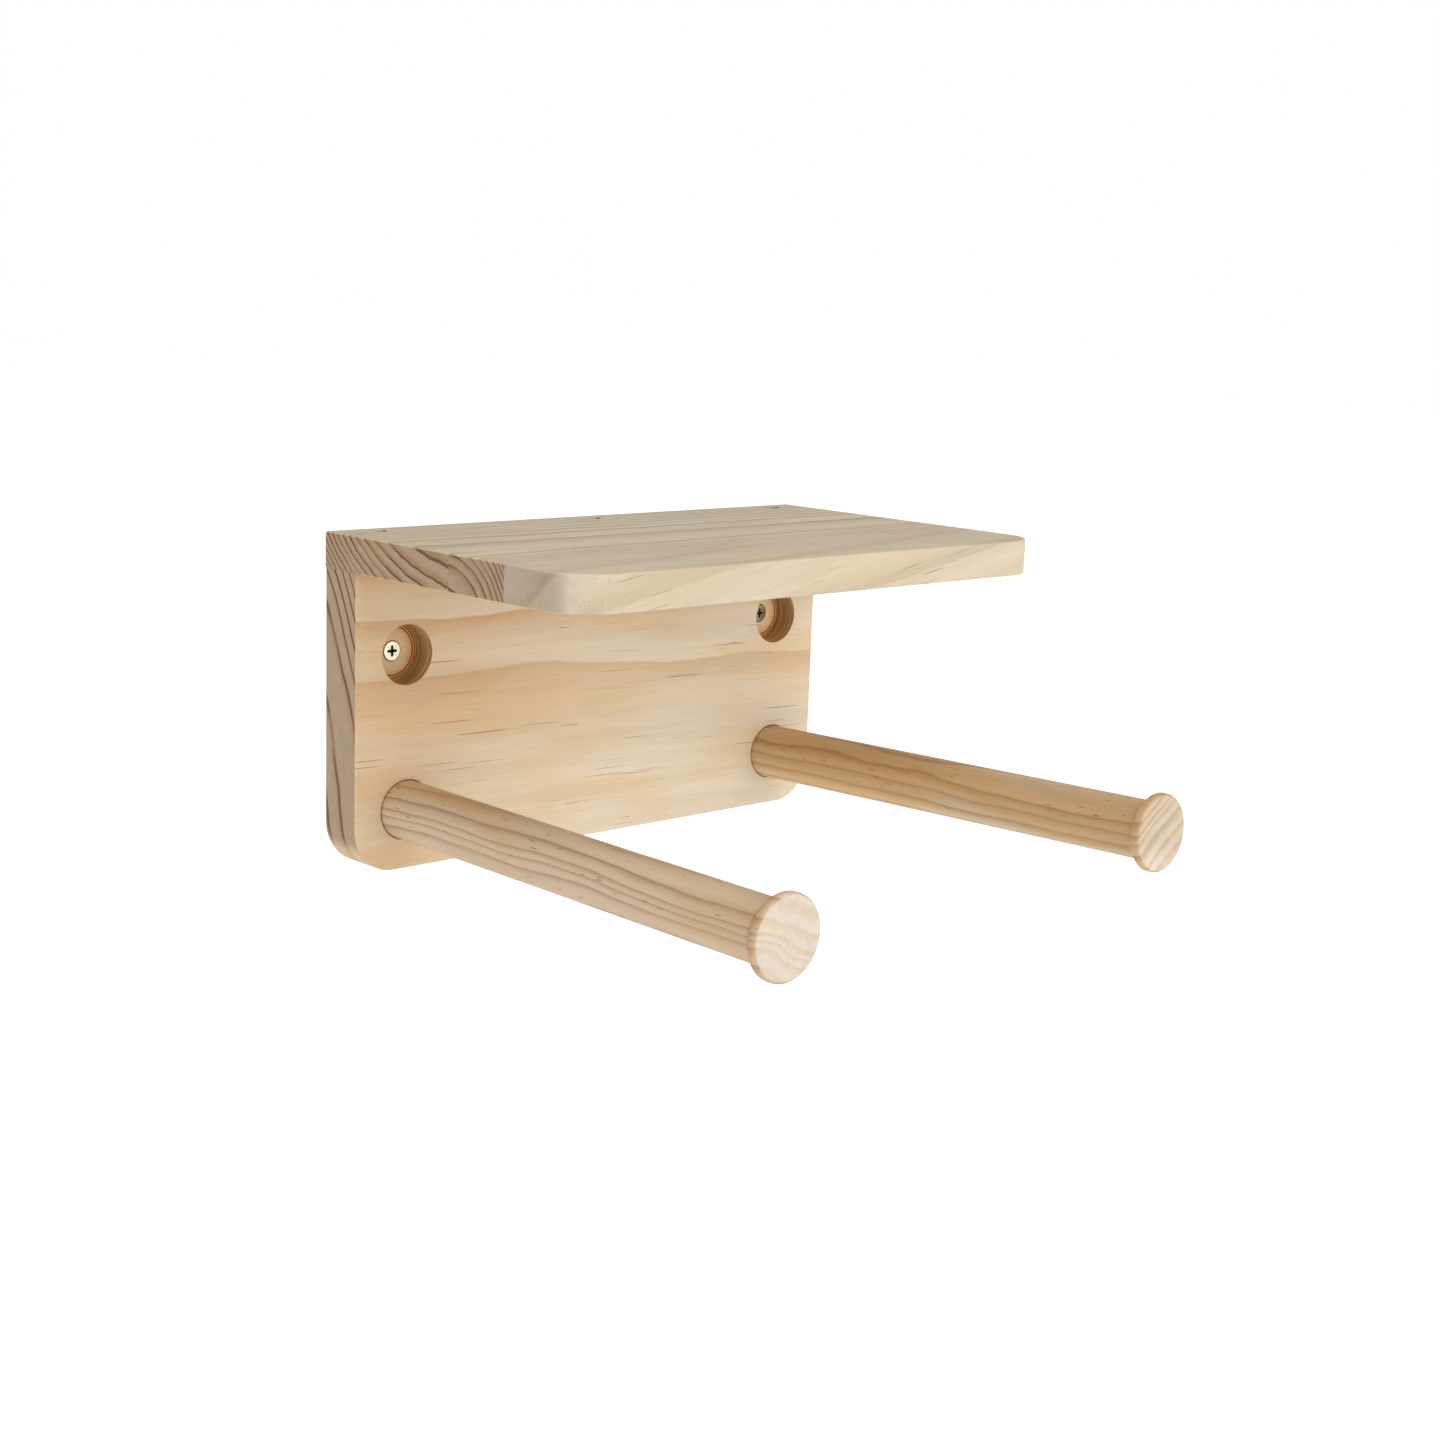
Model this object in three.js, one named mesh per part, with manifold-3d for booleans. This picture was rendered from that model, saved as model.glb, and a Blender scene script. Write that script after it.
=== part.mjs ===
// A wall-hung toilet paper holder in solid pine: a back board, a shelf screwed down on its top edge,
// and two turned pegs that stand out of blind sockets and carry the rolls. Millimetres, +Z up, the wall
// is the plane Y = 0 and the holder reaches out towards -Y. The origin lies on the wall, midway between
// the two wall screws.

import * as THREE from 'three';
import { mergeVertices } from 'three/addons/utils/BufferGeometryUtils.js';
import Module from 'manifold-3d';

const wasm = await Module();
wasm.setup();

// ---- Driving dimensions -------------------------------------------------------------------------

const WIDTH = 320;
const HEIGHT = 170;
const CORNER_RADIUS = 24; // shelf's front corners and back board's lower corners
const ARRIS = 1; // every long edge of the boards is eased by this much

const SHELF_THICKNESS = 18;
const SHELF_DEPTH = 192;

const BACK_THICKNESS = 26;
const BACK_HEIGHT = HEIGHT - SHELF_THICKNESS;
const BACK_TOP = 42.5; // height of the back board's top edge above the wall screws
const BACK_BOTTOM = BACK_TOP - BACK_HEIGHT;
const SHELF_TOP = BACK_TOP + SHELF_THICKNESS;

const HALF_SPACING = 129; // centre line to each peg and to each wall screw

const COUNTERBORE_RADIUS = 15.25;
const COUNTERBORE_DEPTH = 13.5;

const PEG_RADIUS = 15;
const PEG_OUT = 273.6; // peg in front of the back board, which brings its face 300 from the wall
const PEG_ABOVE_BOTTOM = 30.5;
const SOCKET_DEPTH = 18;
const SOCKET_CLEARANCE = 0.3; // all round the peg, and at its end
const PEG_END_CHAMFER = 1; // round the end inside the socket

const KNOB_RADIUS = 20;
const KNOB_LENGTH = 10; // from the end of the plain shank to the flat face
const KNOB_RIM = 1.6; // straight part of the knob's edge
const KNOB_FACE_ROUND = 1.8; // between the knob's edge and its face
const KNOB_SHOULDER_ROUND = 2; // between the flare and the knob's edge
const KNOB_NECK_ROUND = 3; // hollow between the shank and the flare
const KNOB_FLARE_ANGLE = 48; // degrees from the peg's axis

// The sockets are not bored dead square: each peg leans by a degree or so. Angles are in degrees.
const PEGS = [
  { side: 'left', sign: -1, rise: -0.5, toeOut: 0.3 },
  { side: 'right', sign: 1, rise: 1.2, toeOut: 0.6 },
];

// Countersunk cross-recess wood screws
const WALL_SCREW = { length: 40, headRadius: 5, shankRadius: 2.5, slot: 6 };
const JOINT_SCREW = { length: 40, headRadius: 3.9, shankRadius: 2, slot: 4.2 };
const HEAD_RIM = 0.5; // straight edge of a screw head
const TIP_LENGTH = 6;
const SLOT_WIDTH = 1.2;
const SLOT_DEPTH = 2;
const HOLE_CLEARANCE = 0.4;
const HOLE_PAST_TIP = 1; // how far a screw's hole goes on past its tip
const WALL_SCREW_PROUD = 0.4; // head above the counterbore's floor
const SHELF_SCREW_SUNK = 1; // heads below the shelf's top
const PEG_SCREW_SUNK = 0.8; // heads below the wall face
const SHELF_SCREWS = [
  { side: 'left', x: -136 },
  { side: 'middle', x: 3 },
  { side: 'right', x: 138 },
];
const SHELF_SCREW_INSET = 11; // from the wall

const ROUND_STEPS = 48; // segments round a peg, socket or counterbore
const SCREW_STEPS = 20;
const ARC_STEPS = 4; // in a small rounding
const BOARD_CORNER_STEPS = 10;
const ARRIS_STEPS = 2;
const OVERRUN = 2; // how far a cutter runs past the face it enters
const WELD = 1e-4; // corners closer than this are one corner

// ---- Materials ----------------------------------------------------------------------------------

function finish(color, roughness, metalness) {
  return new THREE.MeshStandardMaterial({ color, roughness, metalness });
}
const PINE_SHELF = finish(0xd2c1a2, 0.6, 0);
const PINE_BACK = finish(0xdcc09a, 0.6, 0);
const PINE_PEG = finish(0xc2a37b, 0.55, 0);
const ZINC = finish(0xe0d6b4, 0.35, 1);

// ---- Turning three.js geometry into solids and back ---------------------------------------------

function toSolid(geometry) {
  const bare = geometry.clone();
  bare.deleteAttribute('normal');
  bare.deleteAttribute('uv');
  const merged = mergeVertices(bare, WELD);
  return new wasm.Manifold(
    new wasm.Mesh({
      numProp: 3,
      vertProperties: new Float32Array(merged.attributes.position.array),
      triVerts: new Uint32Array(merged.index.array),
    }),
  );
}

function toGeometry(solid) {
  const mesh = solid.getMesh();
  const geometry = new THREE.BufferGeometry();
  geometry.setAttribute('position', new THREE.BufferAttribute(mesh.vertProperties, 3));
  geometry.setIndex(new THREE.BufferAttribute(mesh.triVerts, 1));
  geometry.computeVertexNormals();
  return geometry;
}

function cut(geometry, cutters) {
  let solid = toSolid(geometry);
  for (const cutter of cutters) solid = solid.subtract(toSolid(cutter));
  return toGeometry(solid);
}

// A turned shape round the Y axis. The profile is a list of [radius, y] and starts and ends on the axis.
function turned(profile, steps) {
  const upwards = profile[0][1] <= profile[profile.length - 1][1];
  const ordered = upwards ? profile : [...profile].reverse();
  const points = ordered.map(([radius, y]) => new THREE.Vector2(radius, y));
  return new THREE.LatheGeometry(points, steps);
}

// ---- Boards -------------------------------------------------------------------------------------

// A rectangle from y = low to y = high, with round corners at its low side and square ones at its high side.
function boardOutline(low, high) {
  const edge = WIDTH / 2;
  const shape = new THREE.Shape();
  shape.moveTo(-edge, high);
  shape.lineTo(-edge, low + CORNER_RADIUS);
  shape.absarc(-edge + CORNER_RADIUS, low + CORNER_RADIUS, CORNER_RADIUS, Math.PI, Math.PI * 1.5, false);
  shape.lineTo(edge - CORNER_RADIUS, low);
  shape.absarc(edge - CORNER_RADIUS, low + CORNER_RADIUS, CORNER_RADIUS, Math.PI * 1.5, Math.PI * 2, false);
  shape.lineTo(edge, high);
  shape.closePath();
  return shape;
}

// The board stands on z = 0 and is as thick as stated, its eased edges included.
function boardGeometry(shape, thickness) {
  const geometry = new THREE.ExtrudeGeometry(shape, {
    depth: thickness - 2 * ARRIS,
    bevelThickness: ARRIS,
    bevelSize: ARRIS,
    bevelOffset: -ARRIS,
    bevelSegments: ARRIS_STEPS,
    curveSegments: BOARD_CORNER_STEPS,
  });
  return geometry.translate(0, 0, ARRIS);
}

function shelfGeometry() {
  const blank = boardGeometry(boardOutline(-SHELF_DEPTH, 0), SHELF_THICKNESS).translate(0, 0, BACK_TOP);
  return cut(blank, SHELF_SCREWS.map(shelfScrewHole));
}

function backGeometry() {
  const blank = boardGeometry(boardOutline(BACK_BOTTOM, BACK_TOP), BACK_THICKNESS).rotateX(Math.PI / 2);
  const pegCutters = PEGS.flatMap(pegHoles);
  return cut(blank, [...PEGS.map(wallScrewHole), ...pegCutters, ...SHELF_SCREWS.map(shelfScrewHole)]);
}

// ---- Pegs ---------------------------------------------------------------------------------------

// Each peg has its own axes: the origin is where it leaves the back board, and -Y runs out along the peg.
function pegPlace({ sign, rise, toeOut }) {
  const place = new THREE.Group();
  place.position.set(sign * HALF_SPACING, -BACK_THICKNESS, BACK_BOTTOM + PEG_ABOVE_BOTTOM);
  place.rotation.set(THREE.MathUtils.degToRad(-rise), 0, THREE.MathUtils.degToRad(sign * toeOut));
  place.updateMatrix();
  return place;
}

// Points on a circular arc in the [radius, y] plane; angles in degrees, counted from +radius towards +y.
function arc(centreRadius, centreY, radius, from, to) {
  return Array.from({ length: ARC_STEPS + 1 }, (_, i) => {
    const angle = THREE.MathUtils.degToRad(from + ((to - from) * i) / ARC_STEPS);
    return [centreRadius + radius * Math.cos(angle), centreY + radius * Math.sin(angle)];
  });
}

function knobProfile() {
  const face = -PEG_OUT;
  const rimFront = face + KNOB_FACE_ROUND;
  const rimBack = rimFront + KNOB_RIM;
  const flare = KNOB_FLARE_ANGLE;
  return [
    ...arc(PEG_RADIUS + KNOB_NECK_ROUND, face + KNOB_LENGTH, KNOB_NECK_ROUND, 180, 180 + flare),
    ...arc(KNOB_RADIUS - KNOB_SHOULDER_ROUND, rimBack, KNOB_SHOULDER_ROUND, flare, 0),
    ...arc(KNOB_RADIUS - KNOB_FACE_ROUND, rimFront, KNOB_FACE_ROUND, 0, -90),
    [0, face],
  ];
}

function pegGeometry() {
  const pilotRadius = JOINT_SCREW.shankRadius + HOLE_CLEARANCE;
  const screwTip = BACK_THICKNESS - PEG_SCREW_SUNK - JOINT_SCREW.length;
  const pilotFloor = screwTip - HOLE_PAST_TIP;
  const profile = [
    [0, pilotFloor],
    [pilotRadius, pilotFloor],
    [pilotRadius, SOCKET_DEPTH],
    [PEG_RADIUS - PEG_END_CHAMFER, SOCKET_DEPTH],
    [PEG_RADIUS, SOCKET_DEPTH - PEG_END_CHAMFER],
    ...knobProfile(),
  ];
  return turned(profile, ROUND_STEPS);
}

// ---- Screws and their holes ---------------------------------------------------------------------

const coneHeight = ({ headRadius, shankRadius }) => headRadius - shankRadius; // a 90 degree countersink

// The centre of the head's top is the origin, and the screw points along +Y.
function screwGeometry(screw) {
  const { length, headRadius, shankRadius, slot } = screw;
  const body = turned(
    [
      [0, 0],
      [headRadius, 0],
      [headRadius, HEAD_RIM],
      [shankRadius, HEAD_RIM + coneHeight(screw)],
      [shankRadius, length - TIP_LENGTH],
      [0, length],
    ],
    SCREW_STEPS,
  );
  const across = new THREE.BoxGeometry(slot, 2 * SLOT_DEPTH, SLOT_WIDTH);
  const along = new THREE.BoxGeometry(SLOT_WIDTH, 2 * SLOT_DEPTH, slot);
  return cut(body, [across, along]);
}

// A countersunk clearance hole for that screw, with a wider shaft in front of the head.
function screwHole(screw, depth, shaftRadius, shaftLength, steps) {
  const head = screw.headRadius + HOLE_CLEARANCE;
  const shank = screw.shankRadius + HOLE_CLEARANCE;
  return turned(
    [
      [0, -shaftLength],
      [shaftRadius, -shaftLength],
      [shaftRadius, HEAD_RIM],
      [head, HEAD_RIM],
      [shank, HEAD_RIM + coneHeight(screw)],
      [shank, depth],
      [0, depth],
    ],
    steps,
  );
}

function wallScrewHole({ sign }) {
  const floor = COUNTERBORE_DEPTH - BACK_THICKNESS;
  const seat = HEAD_RIM; // the counterbore's floor is level with the top of the head's cone
  const hole = screwHole(WALL_SCREW, BACK_THICKNESS, COUNTERBORE_RADIUS, BACK_THICKNESS, ROUND_STEPS);
  return hole.translate(sign * HALF_SPACING, floor - seat, 0);
}

// The hole of a joint screw whose head lies below the surface by the distance it is sunk.
function jointScrewHole(depth, sunk) {
  return screwHole(JOINT_SCREW, depth, JOINT_SCREW.headRadius + HOLE_CLEARANCE, sunk + OVERRUN, SCREW_STEPS);
}

function shelfScrewHole({ x }) {
  const hole = jointScrewHole(JOINT_SCREW.length + HOLE_PAST_TIP, SHELF_SCREW_SUNK);
  return hole.rotateX(-Math.PI / 2).translate(x, -SHELF_SCREW_INSET, SHELF_TOP - SHELF_SCREW_SUNK);
}

// The blind socket, and the screw hole that meets it from the wall side.
function pegHoles(peg) {
  const place = pegPlace(peg);
  const radius = PEG_RADIUS + SOCKET_CLEARANCE;
  const floor = SOCKET_DEPTH + SOCKET_CLEARANCE;
  const socket = turned([[0, -OVERRUN], [radius, -OVERRUN], [radius, floor], [0, floor]], ROUND_STEPS);
  const screw = jointScrewHole(BACK_THICKNESS - SOCKET_DEPTH, PEG_SCREW_SUNK);
  screw.rotateX(Math.PI).translate(0, BACK_THICKNESS - PEG_SCREW_SUNK, 0);
  return [socket, screw].map((cutter) => cutter.applyMatrix4(place.matrix));
}

// ---- Assembly -----------------------------------------------------------------------------------

function piece(name, geometry, material) {
  const mesh = new THREE.Mesh(geometry, material);
  mesh.name = name;
  return mesh;
}

function addPegs(group) {
  for (const peg of PEGS) {
    const place = pegPlace(peg);
    const screw = piece(`peg_screw_${peg.side}`, screwGeometry(JOINT_SCREW), ZINC.clone());
    screw.rotation.x = Math.PI;
    screw.position.y = BACK_THICKNESS - PEG_SCREW_SUNK;
    place.add(piece(`${peg.side}_peg`, pegGeometry(), PINE_PEG.clone()), screw);
    group.add(place);
  }
}

function addWallScrews(group) {
  for (const { side, sign } of PEGS) {
    const screw = piece(`wall_screw_${side}`, screwGeometry(WALL_SCREW), ZINC.clone());
    screw.position.set(sign * HALF_SPACING, COUNTERBORE_DEPTH - BACK_THICKNESS - WALL_SCREW_PROUD, 0);
    group.add(screw);
  }
}

function addShelfScrews(group) {
  for (const { side, x } of SHELF_SCREWS) {
    const screw = piece(`shelf_screw_${side}`, screwGeometry(JOINT_SCREW), ZINC.clone());
    screw.rotation.x = -Math.PI / 2;
    screw.position.set(x, -SHELF_SCREW_INSET, SHELF_TOP - SHELF_SCREW_SUNK);
    group.add(screw);
  }
}

const group = new THREE.Group();
group.add(piece('back_board', backGeometry(), PINE_BACK.clone()));
group.add(piece('shelf_board', shelfGeometry(), PINE_SHELF.clone()));
addPegs(group);
addWallScrews(group);
addShelfScrews(group);

export default group;
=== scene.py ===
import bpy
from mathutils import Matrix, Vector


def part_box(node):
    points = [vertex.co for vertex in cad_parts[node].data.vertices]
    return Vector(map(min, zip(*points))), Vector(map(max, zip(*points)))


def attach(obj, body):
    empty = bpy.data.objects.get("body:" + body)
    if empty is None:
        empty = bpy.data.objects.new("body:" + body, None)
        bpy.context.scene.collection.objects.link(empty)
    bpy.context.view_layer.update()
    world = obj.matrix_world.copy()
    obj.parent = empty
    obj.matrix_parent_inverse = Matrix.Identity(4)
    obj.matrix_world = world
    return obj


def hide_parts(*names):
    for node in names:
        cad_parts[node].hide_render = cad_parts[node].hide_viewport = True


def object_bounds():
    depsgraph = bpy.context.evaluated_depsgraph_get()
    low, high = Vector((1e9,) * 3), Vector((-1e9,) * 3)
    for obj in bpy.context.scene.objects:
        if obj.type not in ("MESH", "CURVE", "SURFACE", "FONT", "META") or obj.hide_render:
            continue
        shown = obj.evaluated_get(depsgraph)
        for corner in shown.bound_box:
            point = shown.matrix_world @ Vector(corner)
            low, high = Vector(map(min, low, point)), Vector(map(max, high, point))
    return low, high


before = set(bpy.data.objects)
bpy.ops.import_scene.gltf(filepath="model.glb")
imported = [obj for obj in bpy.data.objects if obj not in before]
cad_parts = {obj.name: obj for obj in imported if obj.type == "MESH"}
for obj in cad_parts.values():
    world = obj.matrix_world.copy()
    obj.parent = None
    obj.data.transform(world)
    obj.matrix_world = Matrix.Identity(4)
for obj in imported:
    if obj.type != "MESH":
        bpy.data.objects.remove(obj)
cad_box = [list(corner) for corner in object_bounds()]

# A wall-hung toilet paper holder in solid pine. The frame is in metres with +Z up; the wall is the
# plane Y = 0, and the holder reaches out towards -Y. Every piece below replaces one CAD node with
# a finer mesh in the same place. Lengths are written in millimetres, as 24 * MM.

import math
from dataclasses import dataclass

import bmesh
import bpy
from mathutils import Euler, Matrix, Vector

MM = 0.001

# ---- Sizes -------------------------------------------------------------------------------------

BACK_LOW, BACK_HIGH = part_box("back_board")
SHELF_LOW, SHELF_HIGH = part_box("shelf_board")
SCREW_LOW, SCREW_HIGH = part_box("wall_screw_right")
FRONT = BACK_LOW.y  # plane of the back board's front face
BACK_THICKNESS = BACK_HIGH.y - BACK_LOW.y
SHELF_THICKNESS = SHELF_HIGH.z - SHELF_LOW.z
HALF_SPACING = (SCREW_LOW.x + SCREW_HIGH.x) / 2  # from the middle to a wall screw or a peg

CORNER_RADIUS = 24 * MM
CORNER_STEPS = 20
ARRIS = 1.0 * MM  # radius of a board's eased edges
SHELF_UNDER_ARRIS = 0.5 * MM
ARRIS_STEPS = 5
LARGEST_ROUND_FACE = 60 * MM * MM  # a board's faces above this size are its flat ones

ROUND_STEPS = 96
OVERRUN = 2 * MM  # how far a cutter stands out of the wood
MOUTH_ROUND = 0.35 * MM
MOUTH_STEPS = 4

COUNTERBORE_RADIUS = 15.25 * MM
COUNTERBORE_DEPTH = 13.5 * MM
SCORE = 0.35 * MM  # depth of the rings that the boring bit scores in the floor
SCORED_FLOOR = [  # (distance in from the counterbore's wall, depth below its floor)
    (0, SCORE), (0.5 * MM, SCORE), (0.8 * MM, 0), (1.9 * MM, 0), (2.1 * MM, SCORE), (2.3 * MM, 0),
]
WALL_SCREW_CLEARANCE = 0.3 * MM
WALL_SCREW_SEAT_GAP = 0.2 * MM

PEG_RADIUS = 15 * MM
PEG_OUT = 273.6 * MM  # from the back board's face to the knob's
PEG_ABOVE_BOTTOM = 30.5 * MM
PEG_LEANS = {"left": (-0.5, -0.3), "right": (1.2, 0.6)}  # degrees up and towards +X
PEG_CHAMFER = 1 * MM  # at the end inside the socket
PEG_RINGS = 40  # rings of points along the shank
SOCKET_DEPTH = 18 * MM
SOCKET_CLEARANCE = 0.3 * MM
PILOT_CLEARANCE = 0.2 * MM
PILOT_BEYOND_SCREW = 2 * MM

KNOB_RADIUS = 20 * MM
KNOB_LENGTH = 10 * MM
KNOB_RIM = 1.6 * MM
KNOB_FACE_ROUND = 1.8 * MM
KNOB_SHOULDER_ROUND = 2 * MM
KNOB_NECK_ROUND = 3 * MM
KNOB_FLARE_ANGLE = 48  # degrees from the peg's axis
KNOB_FLARE_STEPS = 8
KNOB_FACE_STEPS = 10

SCREW_STEPS = 32
SCREW_RIM = 0.5 * MM  # height of the straight rim of a head
SCREW_BEVEL_WIDTH = 0.25 * MM
SCREW_BEVEL_DROP = 0.2 * MM
SCREW_SMOOTH = 0.32  # share of the length that has no thread
SCREW_CORE = 0.7  # radius under the thread, as a share of the smooth shank's
SCREW_TIP = 6 * MM  # length over which the core narrows to the tip
SCREW_CUTTER_GAP = 0.15 * MM
SCREW_CUTTER_OVERRUN = 3 * MM
THREAD_PITCH = 2.2 * MM
THREAD_STEP = THREAD_PITCH / 8  # distance between the rows of points along the thread
THREAD_HEIGHT = 0.3  # as a share of the smooth shank's radius
THREAD_HALF_WIDTH = 0.27  # as a share of the pitch
THREAD_RUN_OUT = 3 * MM

# ---- Meshes ------------------------------------------------------------------------------------


def mesh_from(points, faces):
    """A mesh with its faces pointing out."""
    mesh = bpy.data.meshes.new("mesh")
    mesh.from_pydata([tuple(point) for point in points], [], faces)
    work = bmesh.new()
    work.from_mesh(mesh)
    bmesh.ops.recalc_face_normals(work, faces=work.faces)
    work.to_mesh(mesh)
    work.free()
    return mesh


def lathe(profile, steps=ROUND_STEPS, ripple=None):
    """A solid turned round the Y axis. The profile holds (radius, y) and starts and ends on the axis."""
    points, faces, rings = [], [], []
    for radius, y in profile:
        count = steps if radius > 0 else 1
        rings.append(range(len(points), len(points) + count))
        for i in range(count):
            angle = 2 * math.pi * i / steps
            reach = radius + (ripple(y, angle) if ripple and radius > 0 else 0)
            points.append((reach * math.cos(angle), y, reach * math.sin(angle)))
    for low, high in zip(rings, rings[1:]):
        for i in range(steps):
            j = (i + 1) % steps
            corners = (low[i % len(low)], low[j % len(low)], high[j % len(high)], high[i % len(high)])
            faces.append(list(dict.fromkeys(corners)))
    return mesh_from(points, faces)


def arc(centre, radius, start, end, steps):
    """Points of an arc in a plane, both ends included; the angles are in degrees."""
    angles = [math.radians(start + (end - start) * i / steps) for i in range(steps + 1)]
    return [(centre[0] + radius * math.cos(a), centre[1] + radius * math.sin(a)) for a in angles]


def linked(name, data):
    """A new object in the scene, made from a mesh, a camera or a lamp."""
    item = bpy.data.objects.new(name, data)
    bpy.context.scene.collection.objects.link(item)
    return item


def carve(mesh, cutters):
    """The mesh with the cutters taken out of it. The cutters are used up."""
    body = linked("body", mesh)
    tools = [linked("cutter", cutter) for cutter in cutters]
    for tool in tools:
        cut = body.modifiers.new("cut", "BOOLEAN")
        cut.operation = "DIFFERENCE"
        cut.solver = "EXACT"
        cut.object = tool
    graph = bpy.context.evaluated_depsgraph_get()
    carved = bpy.data.meshes.new_from_object(body.evaluated_get(graph), depsgraph=graph)
    for item in [body, *tools]:
        bpy.data.objects.remove(item)
    return carved


def shade(mesh, sharp=35, flat_area=None):
    """Smooth shading up to the sharp angle in degrees; faces larger than flat_area stay flat."""
    for face in mesh.polygons:
        face.use_smooth = flat_area is None or face.area < flat_area
    mesh.set_sharp_from_angle(angle=math.radians(sharp))


def use_materials(mesh, materials, number=0):
    """Gives a mesh its materials, and all its faces the numbered one."""
    mesh.materials.clear()
    for material in materials:
        mesh.materials.append(material)
    for face in mesh.polygons:
        face.material_index = number


def add_piece(name, mesh, node):
    """Puts a finished mesh in the scene in place of its CAD node."""
    mesh.name = name
    piece = linked(name, mesh)
    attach(piece, "root")
    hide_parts(node)


# ---- Boards ------------------------------------------------------------------------------------


def board_outline(low, high, inset):
    """As wide as the boards, square at its high side and with round corners at its low side."""
    half = BACK_HIGH.x - inset
    radius = CORNER_RADIUS - inset
    bottom = low + inset + radius
    points = [(-half, high - inset)]
    points += arc((-half + radius, bottom), radius, 180, 270, CORNER_STEPS)
    points += arc((half - radius, bottom), radius, 270, 360, CORNER_STEPS)
    points.append((half, high - inset))
    return points


def eased_levels(thickness, near, far):
    """(inset, depth) down through a board, with a quarter round at each face."""
    quarter = [math.radians(90 * i / ARRIS_STEPS) for i in range(ARRIS_STEPS + 1)]
    top = [(near * (1 - math.sin(a)), near * (1 - math.cos(a))) for a in quarter]
    bottom = [(far * (1 - math.sin(a)), thickness - far * (1 - math.cos(a))) for a in reversed(quarter)]
    return top + bottom


def board_mesh(low, high, levels, place):
    """A board from its outline at each level; place turns (x, v, depth) into a point."""
    points, faces = [], []
    for inset, depth in levels:
        outline = board_outline(low, high, inset)
        points += [place(x, v, depth) for x, v in outline]
    count = len(outline)
    for level in range(len(levels) - 1):
        base = level * count
        for i in range(count):
            j = (i + 1) % count
            faces.append([base + i, base + j, base + count + j, base + count + i])
    faces.append(list(range(count)))
    faces.append(list(range(len(points) - count, len(points))))
    return mesh_from(points, faces)


def shelf_mesh():
    """Flat on top of the back board, with its round corners in front."""
    levels = eased_levels(SHELF_THICKNESS, ARRIS, SHELF_UNDER_ARRIS)
    top = SHELF_HIGH.z
    blank = board_mesh(SHELF_LOW.y, SHELF_HIGH.y, levels, lambda x, v, depth: (x, v, top - depth))
    return carve(blank, [screw_cutter(node) for node in SHELF_SCREWS])


def back_mesh():
    """Upright against the wall, with its round corners at the bottom."""
    levels = eased_levels(BACK_THICKNESS, ARRIS, ARRIS)
    blank = board_mesh(BACK_LOW.z, BACK_HIGH.z, levels, lambda x, v, depth: (x, FRONT + depth, v))
    cutters = [counterbore_cutter(sign) for sign in (-1, 1)]
    cutters += [socket_cutter(side) for side in PEG_LEANS]
    cutters += [screw_cutter(node) for node in SHELF_SCREWS + PEG_SCREWS]
    return carve(blank, cutters)


def add_board(name, mesh, material, node):
    shade(mesh, flat_area=LARGEST_ROUND_FACE)
    use_materials(mesh, [material])
    add_piece(name, mesh, node)


def counterbore_cutter(sign):
    """The stepped hole for a wall screw, with the rings that the boring bit scores round its floor."""
    radius, depth = COUNTERBORE_RADIUS, COUNTERBORE_DEPTH
    mouth = radius + MOUTH_ROUND
    screw = SCREWS["wall_screw_left"]
    hole = screw.shank + WALL_SCREW_CLEARANCE
    gap = WALL_SCREW_SEAT_GAP
    profile = [(0, -OVERRUN), (mouth, -OVERRUN)]
    profile += arc((mouth, MOUTH_ROUND), -MOUTH_ROUND, 90, 0, MOUTH_STEPS)
    profile += [(radius - inwards, depth + deeper) for inwards, deeper in SCORED_FLOOR]
    profile += [(screw.head + gap, depth), (hole, depth + screw.head - hole + gap)]
    profile += [(hole, BACK_THICKNESS + OVERRUN), (0, BACK_THICKNESS + OVERRUN)]
    cutter = lathe(profile)
    cutter.transform(Matrix.Translation((sign * HALF_SPACING, FRONT, 0)))
    shade(cutter)
    return cutter


def peg_matrix(side):
    """The peg's own axes: its origin is where it leaves the back board, and -Y runs out along it."""
    rise, aside = (math.radians(angle) for angle in PEG_LEANS[side])
    sign = -1 if side == "left" else 1
    place = Matrix.Translation((sign * HALF_SPACING, FRONT, BACK_LOW.z + PEG_ABOVE_BOTTOM))
    return place @ Euler((-rise, 0, aside)).to_matrix().to_4x4()


def socket_cutter(side):
    """The blind hole that holds a peg."""
    radius = PEG_RADIUS + SOCKET_CLEARANCE
    depth = SOCKET_DEPTH + SOCKET_CLEARANCE
    chamfer = MOUTH_ROUND / 2
    profile = [(0, -OVERRUN), (radius + chamfer, -OVERRUN), (radius + chamfer, 0)]
    profile += [(radius, chamfer), (radius, depth), (0, depth)]
    cutter = lathe(profile)
    cutter.transform(peg_matrix(side))
    shade(cutter)
    return cutter


# ---- Pegs --------------------------------------------------------------------------------------


def knob_profile():
    """The flared end of a peg, from its shank to the middle of its face."""
    face = -PEG_OUT
    rim_front = face + KNOB_FACE_ROUND
    rim_back = rim_front + KNOB_RIM
    neck_centre = (PEG_RADIUS + KNOB_NECK_ROUND, face + KNOB_LENGTH)
    shoulder_centre = (KNOB_RADIUS - KNOB_SHOULDER_ROUND, rim_back)
    face_centre = (KNOB_RADIUS - KNOB_FACE_ROUND, rim_front)
    flare = KNOB_FLARE_ANGLE
    profile = arc(neck_centre, KNOB_NECK_ROUND, 180, 180 + flare, KNOB_FLARE_STEPS)
    profile += arc(shoulder_centre, KNOB_SHOULDER_ROUND, flare, 0, KNOB_FLARE_STEPS)
    profile += arc(face_centre, KNOB_FACE_ROUND, 0, -90, KNOB_FACE_STEPS)
    return profile + [(0, face)]


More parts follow.
